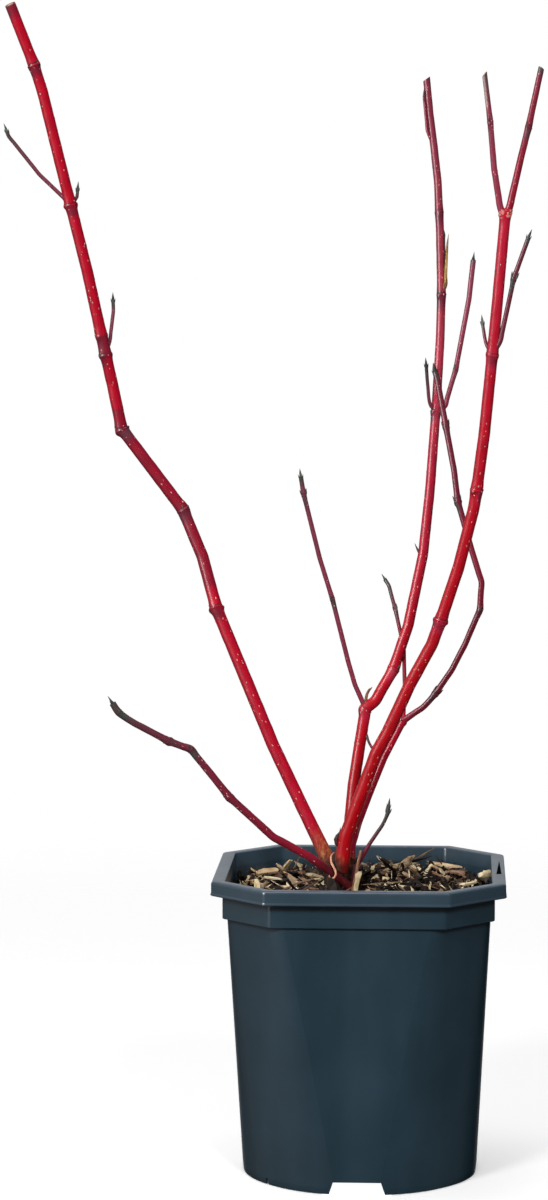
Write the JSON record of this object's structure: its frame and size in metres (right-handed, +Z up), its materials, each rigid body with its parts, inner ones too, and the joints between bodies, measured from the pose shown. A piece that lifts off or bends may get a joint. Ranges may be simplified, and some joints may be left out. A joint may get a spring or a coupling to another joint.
{
  "type": "potted siberian dogwood",
  "caption": "Bare winter shrub with upright, forking red stems from one woody crown, in a square-to-round nursery pot filled with potting mix and bark mulch.",
  "frame": {"origin": "middle of the flat pad on the pot's underside, on the surface that the pot stands on", "axes": "+Z up along the pot's axis, +X to the right and -Y towards the viewer of the picture, both square to the pot's flat sides"},
  "size_m": [0.3483, 0.197, 0.7618],
  "materials": {
    "pot_plastic": "satin slate-blue injection-moulded polypropylene",
    "potting_mix": "dark moist bark and peat potting mix",
    "bark_mulch": "dry tan and brown wood chips over dark mix",
    "crown_bark": "rough brown corky bark",
    "stem_bark": "smooth satin crimson bark with pale lenticels",
    "twig_bark": "smooth dull maroon bark"
  },
  "bodies": {
    "root": {"pot": "pot_plastic", "potting_mix": "potting_mix", "bark_mulch": "bark_mulch", "root_crown": "crown_bark", "stem_front": "stem_bark", "stem_left": "stem_bark", "stem_middle": "stem_bark", "stem_old": "stem_bark", "branch_low": "stem_bark", "fork_left": "stem_bark", "fork_right": "stem_bark", "branch_inner": "twig_bark", "branch_curved": "twig_bark", "twig_old_stem": "twig_bark", "sprout_tall": "twig_bark", "sprout_short": "twig_bark", "twig_left_stem_top": "twig_bark", "spur_left_stem_top": "twig_bark", "twig_left_stem_middle": "twig_bark", "twig_front_stem_left": "twig_bark", "twig_front_stem_right": "twig_bark", "twig_front_stem_low": "twig_bark", "twig_middle_stem_left": "twig_bark", "twig_middle_stem_right": "twig_bark", "twig_middle_stem_back": "twig_bark", "snag_middle_stem_top": "twig_bark", "snag_middle_stem_fork": "twig_bark", "sliver_middle_stem_top": "twig_bark"}
  },
  "joints": []
}
